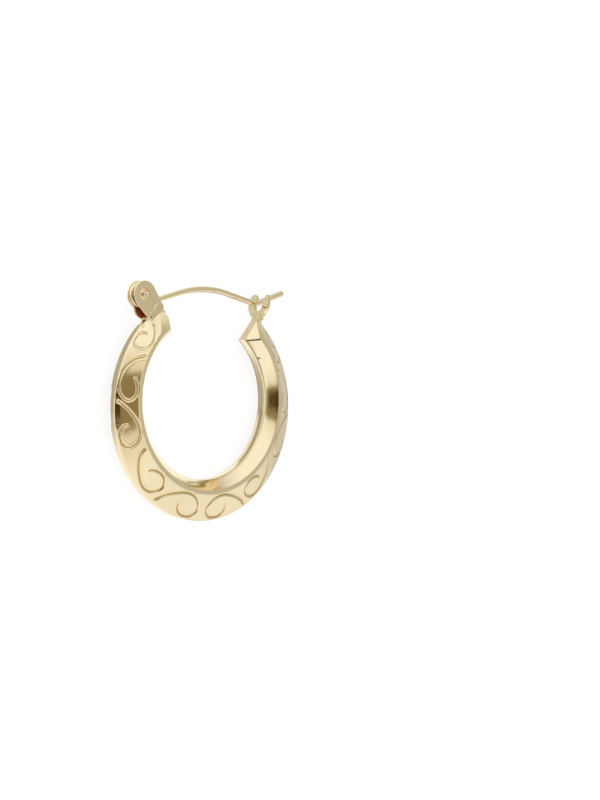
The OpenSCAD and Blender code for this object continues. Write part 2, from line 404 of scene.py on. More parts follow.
def hoop_half(name, side):
    """One of the hoop's two pressed shells: swept, engraved, with a mitred end each way."""
    share = np.linspace(-1, 1, SECTIONS)
    halved = (share[1:] + share[:-1]) / 2
    share = np.sort(np.concatenate([share, halved[:FINE_ENDS], halved[-FINE_ENDS:]]))
    edges = FRONT if side > 0 else BACK
    front, ridge_row, facet_start, facet_end = half_section(share, edges)
    facet = front[facet_start:facet_end]
    depth = groove_depth(facet.reshape(-1, 3)).reshape(facet.shape[:2]) + dent_depth(facet)
    press(facet, depth)
    bore_row = BORE_CUTS + ROUND_CUTS // 2
    inner = front[bore_row:ridge_row]
    place_at, half_width, deep = CREASE
    from_end = (1 - np.abs(share)) * math.radians(180 - BORE_END) * BORE_R
    crease = np.exp(-(((from_end - place_at) / half_width) ** 2))
    crease = crease * np.linspace(CREASE_TAPER, 1, len(inner))[:, None]
    press(inner, deep * crease)

    rings = rounded_ends(list(front.transpose(1, 0, 2)), edges)
    rim_row = facet_end + ROUND_CUTS // 2
    faces = shell_faces(len(rings), len(front), bore_row, ridge_row, rim_row)
    points = np.concatenate(rings)
    obj = add_object(name, to_world(points * [1, 1, side]), faces)

    # The engraved layer: the grooves' cut finish, and painted shade in them
    engraved = np.zeros(front.shape[:2])
    low, high, gain = LIGHTER_GROOVES
    bright = 1 - gain * ease((-share * (180 - RIM_END) - low) / (high - low))
    engraved[facet_start:facet_end] = np.clip(depth / GROOVE_DEPTH, 0, 1) * bright
    # Painted shade: dark in the crease at each end
    shaded = np.zeros(front.shape[:2])
    shaded[bore_row:ridge_row] = np.clip(CREASE_SHADE * crease, 0, 1)
    # Painted shade along the corner between the inner band and the inner facet
    dark, darker, low, spread = CORNER_SHADE
    corner_shade = dark + darker * ease((np.abs(share) * (180 - BORE_END) - low) / spread)
    shaded[bore_row:bore_row + 2] = np.maximum(shaded[bore_row:bore_row + 2], corner_shade)
    spare = (len(rings) - len(share)) // 2
    for layer, values in (("engraved", engraved), ("shaded", shaded)):
        add_layer(obj, layer, np.pad(values.T, ((spare, spare), (0, 0))))
    angle = np.degrees(np.arctan2(points[:, 0], -points[:, 1]))
    low, high, gain = DULLED
    add_layer(obj, "soldered", gain * ease((angle - low) / (high - low)))
    tidy_normals(obj)
    smooth(obj)
    corners = np.empty(len(obj.data.polygons), np.int32)
    obj.data.polygons.foreach_get("loop_total", corners)
    obj.data.polygons.foreach_set("use_smooth", corners == 4)
    return obj


# The small vent that was drilled for soldering: angle, share across the inner facet, radius, depth
# and how dark the painted shade in it is
VENT = (129.0, 0.15, 0.11, 0.3, 0.4)
# How far past a drilled hole's wall and end its painted shade reaches, against its radius and depth
PAST_WALL = 1.03
PAST_END = 1.01


def drill(obj, centre, way, radius, depth, shade):
    """A small hole at a place (x, y, s), along a direction; shade is how dark the painted shade on
    its wall is.
    """
    bm = bmesh.new()
    turn = Vector((0, 0, 1)).rotation_difference(Vector(way)).to_matrix().to_4x4()
    matrix = Matrix.Translation(Vector(to_world(centre))) @ turn
    bmesh.ops.create_cone(
        bm, cap_ends=True, segments=24, radius1=radius * MM, radius2=radius * MM,
        depth=2 * depth * MM, matrix=matrix,
    )
    mesh = bpy.data.meshes.new("cutter")
    bm.to_mesh(mesh)
    bm.free()
    cutter = bpy.data.objects.new("cutter", mesh)
    bpy.context.scene.collection.objects.link(cutter)
    combine(obj, cutter, "DIFFERENCE")
    centre, way = np.array(to_world(centre)) / MM, np.array(way)
    points = np.empty(len(obj.data.vertices) * 3)
    obj.data.vertices.foreach_get("co", points)
    step = points.reshape(-1, 3) / MM - centre
    away = np.linalg.norm(step - (step @ way)[:, None] * way, axis=1)
    inside = (away < radius * PAST_WALL) & (np.abs(step @ way) <= depth * PAST_END)
    layer = obj.data.attributes.get("shaded")
    before = np.zeros(len(inside), np.float32)
    if layer:
        layer.data.foreach_get("value", before)
        obj.data.attributes.remove(layer)
    # Painted shade on the hole's wall
    add_layer(obj, "shaded", np.maximum(before, shade * inside))


def front_shell():
    """The front shell, with its vent drilled square to the inner facet."""
    obj = hoop_half("front_shell", 1)
    angle, across, radius, depth, shade = VENT
    low, high, after = (
        edge_line(edge, np.array([turn / (180 - edge[3])]))[0]
        for edge, turn in ((BORE, angle), (RIDGE, angle), (BORE, angle + 1))
    )
    way = unit(np.cross(after - low, high - low))
    drill(obj, mix(low, high, across), way, radius, depth, shade)
    return obj


def back_shell():
    return hoop_half("back_shell", -1)


# The hinge bracket, the rivet and the ear wire's pivot, as in the source. The bracket's own frame
# is t along the rim, h away from it and s.
BRACKET_ANGLE = math.radians(38)
BRACKET_TURN = math.radians(38 + 5)
PIVOT_H = 2.36
EAR_R = 1.48
EAR_T = 0.22
SLOT_W = 0.9
FOOT_W = 1.2
FOOT_DROP = 0.32
WEB_TOP = 0.2
FOLD_R = 0.15
# A height past the ears' tops, for the strip that the ears are cut from
PAST = 5
# How high the ears' inner faces are reddened by the soldering
FIRED_H = 1.5
RIVET_R = 0.3
# The countersunk hole in each ear, and how much of it the bevel takes
DISH_R = 0.66
BEVELLED = 0.03
# The rivet's end (radius, s), from its dimple over the raised ring to the shank
RIVET_HEAD = [
    (0, 0.83), (0.07, 0.832), (0.13, 0.85), (0.20, 0.895), (0.26, 0.93), (0.31, 0.94),
    (0.37, 0.93), (0.44, 0.90), (0.51, 0.858), (0.58, 0.803), (0.64, 0.74), (0.68, 0.685),
    (0.69, 0.64), (0.60, 0.56), (RIVET_R, 0.5),
]
# A painted dark reflection in a ring on it: radius, spread and strength
RIVET_REFLECTION_RING = (0.52, 0.1, 0.8)


def at_bracket(points):
    """Points (t, h, s) of the bracket's own frame, in the hoop's."""
    t, h, s = np.asarray(points, float).T
    turn = BRACKET_TURN
    x = -RIM_R * math.sin(BRACKET_ANGLE) + t * math.cos(turn) - h * math.sin(turn)
    y = RIM_R * math.cos(BRACKET_ANGLE) + t * math.sin(turn) + h * math.cos(turn)
    return np.stack([x, y, s], axis=-1)


def arc(centre, radius, first, last, steps):
    """Points on an arc, with its angles in degrees."""
    a = np.radians(np.linspace(first, last, steps))
    return [(centre[0] + radius * math.cos(v), centre[1] + radius * math.sin(v)) for v in a]


def prism(name, outline, low, high, order):
    """An outline (u, v) drawn out along w from low to high; order puts u, v and w in place."""
    n = len(outline)
    corners = [(*p, w) for w in (low, high) for p in outline]
    vertices = [tuple(c[i] for i in order) for c in corners]
    faces = [list(range(n))[::-1], list(range(n, 2 * n))]
    faces += [[i, (i + 1) % n, n + (i + 1) % n, n + i] for i in range(n)]
    obj = add_object(name, vertices, faces)
    tidy_normals(obj)
    return obj


def tidy_normals(obj, merge=1e-8):
    """Merge points that coincide, and turn all faces to the outside."""
    bm = bmesh.new()
    bm.from_mesh(obj.data)
    bmesh.ops.remove_doubles(bm, verts=bm.verts, dist=merge)
    bmesh.ops.recalc_face_normals(bm, faces=bm.faces)
    if bm.calc_volume(signed=True) < 0:
        bmesh.ops.reverse_faces(bm, faces=bm.faces)
    bm.to_mesh(obj.data)
    bm.free()


def apply_modifiers(obj):
    """Make the shape that the modifiers give the object's own mesh."""
    depsgraph = bpy.context.evaluated_depsgraph_get()
    mesh = bpy.data.meshes.new_from_object(obj.evaluated_get(depsgraph))
    obj.modifiers.clear()
    obj.data = mesh


def combine(obj, other, operation):
    """Boolean of two closed objects; the second one is used up."""
    modifier = obj.modifiers.new("combine", "BOOLEAN")
    modifier.operation = operation
    modifier.solver = "EXACT"
    modifier.object = other
    apply_modifiers(obj)
    bpy.data.objects.remove(other)


def bevel(obj, width=0.05, segments=3, angle=35):
    """Round the edges that turn by more than the angle."""
    modifier = obj.modifiers.new("bevel", "BEVEL")
    modifier.width = width
    modifier.segments = segments
    modifier.limit_method = "ANGLE"
    modifier.angle_limit = math.radians(angle)
    modifier.use_clamp_overlap = False
    apply_modifiers(obj)


def remap(obj, mapping):
    """Move all the mesh's points by a function of their array."""
    count = len(obj.data.vertices)
    points = np.empty(count * 3)
    obj.data.vertices.foreach_get("co", points)
    obj.data.vertices.foreach_set("co", mapping(points.reshape(-1, 3)).ravel())
    obj.data.update()


def place(obj, mapping):
    """Move the mesh's points, in millimetres of a local frame, to their place in the world."""
    remap(obj, lambda points: to_world(mapping(points)))
    tidy_normals(obj)
    smooth(obj)


def smooth(obj, angle=40):
    """Shade smooth, but for the edges that turn by more than the angle."""
    obj.data.shade_smooth()
    obj.data.set_sharp_from_angle(angle=math.radians(angle))


def lathe(name, profile, sides=64):
    """A closed shape turned round the s axis; its profile (radius, s) starts and ends there."""
    turn = np.linspace(0, 2 * math.pi, sides, endpoint=False)
    rings = [(r * np.cos(turn), r * np.sin(turn), np.full(sides, s)) for r, s in profile[1:-1]]
    vertices = np.concatenate([np.stack(ring, axis=-1) for ring in rings])
    faces = [tuple(f) for f in quads(len(rings), sides)]
    top, bottom = len(vertices), len(vertices) + 1
    vertices = np.vstack([vertices, (0, 0, profile[0][1]), (0, 0, profile[-1][1])])
    last = (len(rings) - 1) * sides
    faces += [(top, (k + 1) % sides, k) for k in range(sides)]
    faces += [(bottom, last + k, last + (k + 1) % sides) for k in range(sides)]
    obj = add_object(name, vertices, faces)
    tidy_normals(obj)
    return obj


# The rear ear's foot on its outer side (t, h), from the round part down
REAR_FOOT = [(-1.40, 1.62), (-1.61, 0.95), (-1.52, 0.42), (-1.30, 0.0)]


def ear_outline(foot=()):
    """The bracket's outline seen along the hoop's axis: round ears over a foot."""
    ear = arc((0, PIVOT_H), EAR_R, -8, 188, 60)
    foot = map(tuple, smooth_curve([ear[-1], *foot], 6)[1:]) if foot else ()
    return [(FOOT_W, -FOOT_DROP), *ear, *foot, (-FOOT_W, -FOOT_DROP)]


# The share of the hoop's length where its last piece at the hinge starts, and its sections
BLOCK_FROM = 0.93
BLOCK_SECTIONS = 16


def end_block():
    """A closed piece of the hoop's last two millimetres at the hinge."""
    share = -np.linspace(BLOCK_FROM, 1, BLOCK_SECTIONS)
    front, ridge_row, _, _ = half_section(share)
    back = mirrored(half_section(share, BACK)[0])
    half = len(front)
    rings = np.concatenate([front, back[1:-1][::-1]]).transpose(1, 0, 2)
    count = rings.shape[1]
    faces = [tuple(f) for f in quads(len(share), count)]
    for start in (0, (len(share) - 1) * count):
        for step in (1, -1):
            inner_line = [start + step * i % count for i in range(ridge_row + 1)]
            outer_line = [start + step * i % count for i in range(half - 1, ridge_row - 1, -1)]
            faces += zipped(inner_line, outer_line)
    obj = add_object("block", rings.reshape(-1, 3), faces)
    tidy_normals(obj)
    return obj


def bead(centre, size, frame_of):
    """A round bead, its size a radius or three half axes, in the bracket's or the catch's frame."""
    bm = bmesh.new()
    bmesh.ops.create_icosphere(bm, subdivisions=4, radius=1)
    mesh = bpy.data.meshes.new("bead")
    bm.to_mesh(mesh)
    bm.free()
    obj = bpy.data.objects.new("bead", mesh)
    bpy.context.scene.collection.objects.link(obj)
    remap(obj, lambda points: frame_of(points * size + centre))
    return obj


SOLDER_VOXEL = 0.05
SOLDER_SINK = 0.02
# A pinhole in the solder, in the bracket's frame (t, h, s), with its radius and depth
PINHOLE = (-0.95, -0.02, 0.85)
PINHOLE_R = 0.09
PINHOLE_DEPTH = 0.3


def melt(name, parts, rounds):
    """Solder: the parts run together, smoothed, and sunk so that it shows in corners alone."""
    bm = bmesh.new()
    for part in parts:
        bm.from_mesh(part.data)
        bpy.data.objects.remove(part)
    mesh = bpy.data.meshes.new(name)
    bm.to_mesh(mesh)
    bm.free()
    obj = bpy.data.objects.new(name, mesh)
    bpy.context.scene.collection.objects.link(obj)
    remesh = obj.modifiers.new("remesh", "REMESH")
    remesh.mode = "VOXEL"
    remesh.voxel_size = SOLDER_VOXEL
    flow = obj.modifiers.new("flow", "SMOOTH")
    flow.factor = 0.5
    flow.iterations = rounds
    apply_modifiers(obj)
    tidy_normals(obj)
    sink = obj.modifiers.new("sink", "DISPLACE")
    sink.strength = -SOLDER_SINK
    sink.mid_level = 0
    apply_modifiers(obj)
    place(obj, lambda points: points)
    add_layer(obj, "soldered", np.ones(len(obj.data.vertices)))
    return obj


# The solder under the bracket: its base's outline (s, h) and its span of t, and the beads that run
# together beside each ear: centre (t, h, s) and half axes
HINGE_BASE = [(-0.6, -0.95), (0.6, -0.95), (0.6, -0.12), (-0.6, -0.12)]
HINGE_BASE_T = (-1.2, 1.1)
HINGE_BEADS = [
    ((-0.50, -0.04, 0.57), (0.86, 0.60, 0.22)),
    ((0.40, 0.02, 0.56), (0.92, 0.66, 0.27)),
    ((1.00, 0.06, 0.38), (0.42, 0.50, 0.40)),
    ((1.12, 0.04, 0.00), (0.28, 0.42, 0.40)),
    ((-1.24, -0.14, 0.30), (0.30, 0.36, 0.36)),
]


def hinge_solder():
    """The solder that joins the bracket's foot to the hoop's end."""
    base = prism("base", HINGE_BASE, *HINGE_BASE_T, (2, 1, 0))
    remap(base, at_bracket)
    parts = [end_block(), base]
    for centre, size in HINGE_BEADS:
        for side in (1, -1):
            parts.append(bead(centre * np.array([1, 1, side]), size, at_bracket))
    obj = melt("hinge_solder", parts, 8)
    # The pinhole's wall gets full painted shade
    drill(obj, at_bracket([PINHOLE])[0], (0, 0, 1), PINHOLE_R, PINHOLE_DEPTH, 1)
    return obj


# The solder under the catch: its foot's outline (t, h) and its span of s, how far it stands out
# round the plate and to each side of it, and its round beads: place (t, h, s) and radius
CATCH_FOOT = [(-0.32, -0.59), (0.46, -0.59), (0.46, 0.26), (-0.32, 0.26)]
CATCH_FOOT_S = (-0.54, 0.49)
ROUND_PLATE = 0.04
BESIDE_PLATE = 0.28
CATCH_BEADS = [
    ((0.36, 0.03, 0.42), 0.25),
    ((0.45, -0.12, -0.1), 0.24),
    ((-0.28, -0.08, 0.1), 0.24),
    ((0.05, -0.2, 0.45), 0.26),
]


def catch_solder():
    """The solder at the catch's foot."""
    foot = prism("foot", CATCH_FOOT, *CATCH_FOOT_S, (0, 1, 2))
    round_plate = arc(PLATE[:2], PLATE[2] + ROUND_PLATE, 220, 320, 24)
    parts = [foot, prism("plate", round_plate, -BESIDE_PLATE, BESIDE_PLATE, (2, 1, 0))]
    for part in parts:
        remap(part, at_catch)
    for centre, size in CATCH_BEADS:
        parts.append(bead(centre, size, at_catch))
    return melt("catch_solder", parts, 9)


def hinge_bracket():
    """A strip folded to a channel, with round ears that are countersunk for the rivet."""
    outer = SLOT_W / 2 + EAR_T
    inner = SLOT_W / 2
    fold_h = WEB_TOP + FOLD_R
    channel = [
        (outer, -FOOT_DROP), (outer, PAST), (inner, PAST),
        *arc((inner - FOLD_R, fold_h), FOLD_R, 0, -90, 8),
        *arc((-inner + FOLD_R, fold_h), FOLD_R, -90, -180, 8),
        (-inner, PAST), (-outer, PAST), (-outer, -FOOT_DROP),
    ]
    obj = prism("hinge_bracket", channel, -3, 3, (2, 1, 0))
    outline = prism("cutter", ear_outline(), -0.2, 2, (0, 1, 2))
    rear_outline = prism("cutter", ear_outline(REAR_FOOT), -2, -0.15, (0, 1, 2))
    combine(outline, rear_outline, "UNION")
    combine(obj, outline, "INTERSECT")
    hole_r = DISH_R - BEVELLED
    hole = lathe("cutter", [(0, 2), (hole_r, 2), (hole_r, -2), (0, -2)], 48)
    hole.data.transform(Matrix.Translation((0, PIVOT_H, 0)))
    combine(obj, hole, "DIFFERENCE")
    bevel(obj)
    slack = 0.01
    fired = [
        abs(v.co.z) < inner + slack and WEB_TOP - slack < v.co.y < FIRED_H
        for v in obj.data.vertices
    ]
    add_layer(obj, "fired", fired)
    place(obj, at_bracket)
    return obj


def hinge_rivet():
    """The rivet: at each ear a raised button with a dimple."""
    obj = lathe("rivet", RIVET_HEAD + [(r, -s) for r, s in RIVET_HEAD[::-1]])
    away = np.array([math.hypot(v.co.x, v.co.y) for v in obj.data.vertices])
    # The ring's painted dark reflection goes into the engraved layer
    radius, spread, strength = RIVET_REFLECTION_RING
    add_layer(obj, "engraved", strength * np.exp(-(((away - radius) / spread) ** 2)))
    obj.data.transform(Matrix.Translation((0, PIVOT_H, 0)))
    place(obj, at_bracket)
    return obj


# The catch's place as in the source, and its plate as a circle and an open hole: centre s, h, and
# radius
CATCH_ANGLE = math.radians(34.9)
CATCH_TURN = math.radians(-9)
CATCH_GAP = 0.14
CATCH_SIDE = 0.1
CATCH_T = 0.44
PLATE = (0.05, 1.60, 1.60)
HOLE = (0.11, 1.43, 0.63)
# The rear prong's outline (s, h) from the plate's circle over its tip to the hole, and the front
# prong's from the hole back to the circle
REAR_PRONG = [(-1.22, 2.51), (-0.86, 2.73), (-0.57, 2.62), (-0.43, 2.25), (-0.46, 1.88)]
FRONT_PRONG = [(0.77, 1.88), (0.95, 2.27), (1.19, 2.70)]


def at_catch(points):
    """Points (t, h, s) of the catch's own frame, in the hoop's."""
    t, h, s = np.asarray(points, float).T
    base = RIM_R + CATCH_GAP
    turn = CATCH_TURN
    x = base * math.sin(CATCH_ANGLE) + t * math.cos(turn) - h * math.sin(turn)
    y = base * math.cos(CATCH_ANGLE) + t * math.sin(turn) + h * math.cos(turn)
    return np.stack([x, y, s + CATCH_SIDE], axis=-1)


def catch_plate():
    """The plate: round, with an open hole between a rear and a front prong."""
    outer = arc(PLATE[:2], PLATE[2], 40, -207, 100)
    hole = arc(HOLE[:2], HOLE[2], 160, 380, 60)
    rear = smooth_curve([outer[-1], *REAR_PRONG, hole[0]], 8)[1:-1]
    front = smooth_curve([hole[-1], *FRONT_PRONG, outer[0]], 8)[1:-1]
    outline = [*outer, *map(tuple, rear), *hole, *map(tuple, front)]
    obj = prism("catch_plate", outline, -CATCH_T / 2, CATCH_T / 2, (2, 1, 0))
    bevel(obj)
    place(obj, at_catch)
    return obj


# The ear wire's route as in the source: radius of a bend or 0, and a length or an angle
ROUTE = [(0, 4.7), (16, -18.6), (10.5, -10.6), (0, 4.2), (1.2, 32), (0, 3.65)]
FIRST_HEADING = 18.8
ROOT_DROP = 1.05
PATH_STEP = 0.12
WIRE_R = 0.325
WIRE_SIDES = 40
# The wire's tip: how far it goes on before it rounds off, and the radius of the rounding
TIP_START = 0.08
TIP_ROUND = 0.22
# Half of the eye's section (radius, s), and its hole
EYE_T = 0.44
EYE_RIM = [(0, 0.22), (1.22, 0.22), (1.32, 0.20), (1.38, 0.145), (1.4, 0.07)]
EYE_HOLE_R = 0.34
# The eye lies against the back ear; the distance from which, and over which, the wire comes back
# to the middle
EYE_SIDE = -0.225
SIDE_RUN = (0.4, 2.4)
# At its root the wire is flattened: how much its half thickness is less than the eye's, how much
# wider it is, and the distance from which, and over which, it turns round
ROOT_THINNER = 0.03
ROOT_WIDER = 1.04
ROUND_RUN = (0.5, 1.5)


def wire_path():
    """Places and headings (x, y, heading) along the ear wire."""
    pivot = at_bracket([(0, PIVOT_H, 0)])[0]
    heading = math.radians(FIRST_HEADING)
    x = pivot[0] + ROOT_DROP * math.sin(heading)
    y = pivot[1] - ROOT_DROP * math.cos(heading)
    path = [(x, y, heading)]
    for radius, size in ROUTE:
        turn = math.radians(size) if radius else 0
        length = abs(turn) * radius if radius else size
        steps = max(2, math.ceil(length / PATH_STEP))
        for _ in range(steps):
            part = length / steps
            x += part * math.cos(heading + turn / steps / 2)
            y += part * math.sin(heading + turn / steps / 2)
            heading += turn / steps
            path.append((x, y, heading))
    return np.array(path)


def ear_wire():
    """The round wire, flattened where it runs into its eye, with a blunt rounded tip."""
    path = wire_path()
    run = np.concatenate([[0], np.cumsum(np.linalg.norm(np.diff(path[:, :2], axis=0), axis=1))])
    full = ease((run - ROUND_RUN[0]) / ROUND_RUN[1])
    thick = mix(EYE_T / 2 - ROOT_THINNER, WIRE_R, full)
    wide = mix(WIRE_R * ROOT_WIDER, WIRE_R, full)
    ends = []
    for angle in np.radians([0, 18, 36, 54, 72, 90]):
        ahead = TIP_START + TIP_ROUND * math.sin(angle)
        x, y, heading = path[-1]
        place_at = (x + ahead * math.cos(heading), y + ahead * math.sin(heading), heading)
        ends.append((place_at, WIRE_R - TIP_ROUND * (1 - math.cos(angle))))
    path = np.vstack([path, [e[0] for e in ends]])
    wide = np.concatenate([wide, [e[1] for e in ends]])
    thick = np.concatenate([thick, [e[1] for e in ends]])
    turn = np.linspace(0, 2 * math.pi, WIRE_SIDES, endpoint=False)
    out = wide[:, None] * np.cos(turn)
    up = thick[:, None] * np.sin(turn)
    x = path[:, 0, None] - out * np.sin(path[:, 2, None])
    y = path[:, 1, None] + out * np.cos(path[:, 2, None])
    run = np.concatenate([run, np.full(len(ends), run[-1])])
    up += EYE_SIDE * (1 - ease((run[:, None] - SIDE_RUN[0]) / SIDE_RUN[1]))
    vertices = np.stack([x, y, up], axis=-1).reshape(-1, 3)
    faces = [tuple(f) for f in quads(len(path), WIRE_SIDES)]
    last = (len(path) - 1) * WIRE_SIDES
    faces += [tuple(range(WIRE_SIDES))[::-1], tuple(range(last, last + WIRE_SIDES))]
    obj = add_object("wire", vertices, faces)
    tidy_normals(obj)
    eye = lathe("eye", EYE_RIM + [(r, -s) for r, s in EYE_RIM[::-1]], 96)
    pivot = at_bracket([(0, PIVOT_H, 0)])[0]
    eye.data.transform(Matrix.Translation((pivot[0], pivot[1], EYE_SIDE)))
    combine(obj, eye, "UNION")
    hole = lathe("cutter", [(0, 1), (EYE_HOLE_R, 1), (EYE_HOLE_R, -1), (0, -1)], 48)
    hole.data.transform(Matrix.Translation((pivot[0], pivot[1], 0)))
    combine(obj, hole, "DIFFERENCE")
    place(obj, lambda points: points)
    return obj


# The camera, measured from the photo: how far it looks from above, round and rolled, its distance
# in millimetres, and where the ridge's centre is in the picture
VIEW_TURN = math.radians(40.26)
VIEW_SPIN = math.radians(2.6)
VIEW_ROLL = math.radians(1.17)
CAMERA_DISTANCE = 274.5
FRAME_PX = (600, 800)
CENTRE_PX = (201.97, 400.8)
PX_PER_MM = 9.106
SENSOR_MM = 36


def view_axes():
    """The directions from the object to the camera, to its right and up, without its roll."""
    toward = Vector((
        -math.sin(VIEW_TURN) * math.cos(VIEW_SPIN),
        -math.sin(VIEW_TURN) * math.sin(VIEW_SPIN),
        math.cos(VIEW_TURN),
    ))
    up = Vector((-math.sin(VIEW_SPIN), math.cos(VIEW_SPIN), 0))
    return up.cross(toward), up, toward


def make_camera():
    """The camera, turned off its axis so that the object stands where it does in the photo."""
    right, up, toward = view_axes()
    right, up = (
        right * math.cos(VIEW_ROLL) + up * math.sin(VIEW_ROLL),
        up * math.cos(VIEW_ROLL) - right * math.sin(VIEW_ROLL),
    )
    centre = Vector(to_world((0, RIDGE_RISE, 0)))
    place_at = centre + toward * CAMERA_DISTANCE * MM
    turn = math.atan((FRAME_PX[0] / 2 - CENTRE_PX[0]) / PX_PER_MM / CAMERA_DISTANCE)
    tilt = math.atan((CENTRE_PX[1] - FRAME_PX[1] / 2) / PX_PER_MM / CAMERA_DISTANCE)
    axes = Matrix((right, up, toward)).transposed().to_4x4()
    data = bpy.data.cameras.new("camera")
    data.sensor_fit = "HORIZONTAL"
    data.sensor_width = SENSOR_MM
    data.lens = CAMERA_DISTANCE * SENSOR_MM * PX_PER_MM / FRAME_PX[0]
    data.clip_start = 0.01
    data.clip_end = 10
    camera = bpy.data.objects.new("camera", data)
    bpy.context.scene.collection.objects.link(camera)
    camera.matrix_world = (
        Matrix.Translation(place_at) @ axes
        @ Matrix.Rotation(-turn, 4, "Y") @ Matrix.Rotation(tilt, 4, "X")
    )
    bpy.context.scene.camera = camera


def node(tree, kind, values=(), **settings):
    """Add a node; each value is a number, a colour or another node's output."""
    new = tree.nodes.new(kind)
    for name, setting in settings.items():
        setattr(new, name, setting)
    for socket, value in (values.items() if isinstance(values, dict) else enumerate(values)):
        if isinstance(value, bpy.types.NodeSocket):
            tree.links.new(value, new.inputs[socket])
        else:
            new.inputs[socket].default_value = value
    return new


def maths(tree, operation, *values):
    return node(tree, "ShaderNodeMath", values, operation=operation).outputs[0]


def dot(tree, vector, direction):
    made = node(tree, "ShaderNodeVectorMath", (vector, tuple(direction)), operation="DOT_PRODUCT")
    return made.outputs["Value"]


def fade(tree, value, low, high):
    """1 below low, 0 above high, smooth between."""
    values = {"Value": value, "From Min": low, "From Max": high, "To Min": 1.0, "To Max": 0.0}
    made = node(tree, "ShaderNodeMapRange", values, interpolation_type="SMOOTHSTEP")
    return made.outputs[0]


def product(tree, *values):
    """All the values multiplied, in their order."""
    first, *others = values
    for value in others:
        first = maths(tree, "MULTIPLY", first, value)
    return first


def distance(tree, x, y):
    """How far a point (x, y) is from the middle."""
    squares = (product(tree, x, x), product(tree, y, y))
    return maths(tree, "SQRT", maths(tree, "ADD", *squares))


def noise(tree, spot, scale, detail):
    values = {"Vector": spot, "Scale": scale, "Detail": detail}
    return node(tree, "ShaderNodeTexNoise", values).outputs["Fac"]


def layer_of(tree, name):
    return node(tree, "ShaderNodeAttribute", attribute_name=name).outputs["Fac"]


def blend(tree, factor, a, b):
    """The colour a where factor is 0 and b where it is 1."""
    made = node(tree, "ShaderNodeMix", data_type="RGBA")
    for socket, value in ((made.inputs[0], factor), (made.inputs[6], a), (made.inputs[7], b)):
        if isinstance(value, bpy.types.NodeSocket):
            tree.links.new(value, socket)
        else:
            socket.default_value = value
    return made.outputs[2]


def reflected_only(obj):
    """A card that shows in the gold's reflections alone."""
    obj.visible_camera = False
    obj.visible_diffuse = False
    obj.visible_shadow = False
    obj.visible_transmission = False
    obj.visible_volume_scatter = False


# The golds: polished, its darker specks, engraved (darker for its cut finish and as painted shade),
# soldered, reddened, and dark with painted shade in creases, corners and holes
GOLD = (0.90, 0.76, 0.50, 1)
SPECK_GOLD = (0.80, 0.62, 0.33, 1)
CUT_GOLD_AND_SHADE = (0.66, 0.47, 0.20, 1)
SOLDER = (0.82, 0.70, 0.42, 1)
FIRED = (0.62, 0.20, 0.04, 1)
SHADED = (0.04, 0.025, 0.008, 1)


def gold(name, roughness, worked=False):
    """Polished yellow gold; where worked, it reads the layers of the mesh.

    It is duller where "engraved" and "soldered", red where "fired" and dark where "shaded". The
    engraved tone is partly the cut finish and partly painted shade, and on the rivet a painted dark
    reflection; "shaded" is painted shade.
    """
    material = bpy.data.materials.new(name)
    material.use_nodes = True
    tree = material.node_tree
    shader = tree.nodes["Principled BSDF"]
    shader.inputs["Metallic"].default_value = 1
    spot = node(tree, "ShaderNodeTexCoord").outputs["Object"]
    waves = noise(tree, spot, 900.0, 2.0)
    specks = noise(tree, spot, 9000.0, 3.0)
    gloss = maths(tree, "MULTIPLY_ADD", waves, 0.10, roughness - 0.05)
    tone = maths(tree, "MULTIPLY_ADD", specks, 0.10, 0.95)
    colour = blend(tree, tone, SPECK_GOLD, GOLD)
    if worked:
        # Engraved: darker and duller for the cut finish, and darker as painted shade; on the rivet,
        # a painted dark reflection
        cut = fade(tree, layer_of(tree, "engraved"), 0.75, 0.15)
        colour = blend(tree, cut, colour, CUT_GOLD_AND_SHADE)
        gloss = maths(tree, "MULTIPLY_ADD", cut, 0.22, gloss)
        patchy = maths(tree, "MULTIPLY_ADD", noise(tree, spot, 2600.0, 3.0), 1.6, 0.2)
        dull = maths(tree, "MINIMUM", product(tree, layer_of(tree, "soldered"), patchy), 1.0)
        colour = blend(tree, dull, colour, SOLDER)
        gloss = maths(tree, "MULTIPLY_ADD", dull, 0.2, gloss)
        fired = layer_of(tree, "fired")
        colour = blend(tree, fired, colour, FIRED)
        gloss = maths(tree, "MULTIPLY_ADD", fired, 0.3, gloss)
        # Painted shade, dark in the creases, along the inner band's corner and in the drilled holes
        colour = blend(tree, layer_of(tree, "shaded"), colour, SHADED)
    tree.links.new(colour, shader.inputs["Base Color"])
    tree.links.new(gloss, shader.inputs["Roughness"])
    height = maths(tree, "MULTIPLY_ADD", specks, 0.02, waves)
    bump = node(tree, "ShaderNodeBump", {"Height": height, "Distance": 0.00002, "Strength": 0.35})
    tree.links.new(bump.outputs[0], shader.inputs["Normal"])
    return material


# The soft cards round the object. Columns: degrees right and up from the camera's direction,
# half width and half height in degrees, how square the card is, share of the edge that fades,
# and colour.
CARDS = [
    (75, -56, 50, 26, 2, 0.6, (0.97, 0.985, 0.98)),
    (82, 24, 42, 62, 3, 0.35, (0.58, 0.57, 0.52)),
    (60, 92, 14, 10, 2, 0.4, (0.62, 0.46, 0.19)),
    (12, -2, 34, 34, 2, 0.3, (0.85, 0.83, 0.74)),
    (4, 0.5, 27, 18, 4, 0.14, (0.28, 0.225, 0.115)),
    (-7, -2, 10, 11, 2, 0.25, (0.06, 0.035, 0.008)),
    (-24, 60, 16, 14, 2, 0.4, (1.07, 1.09, 1.12)),
]
# The tent above, and at the horizon, where it fades between these heights of a unit direction
BRIGHT = (1.07, 1.09, 1.12)
HORIZON = (0.66, 0.66, 0.68)
HORIZON_FADE = (0.02, 0.38)
TENT_R = 0.6
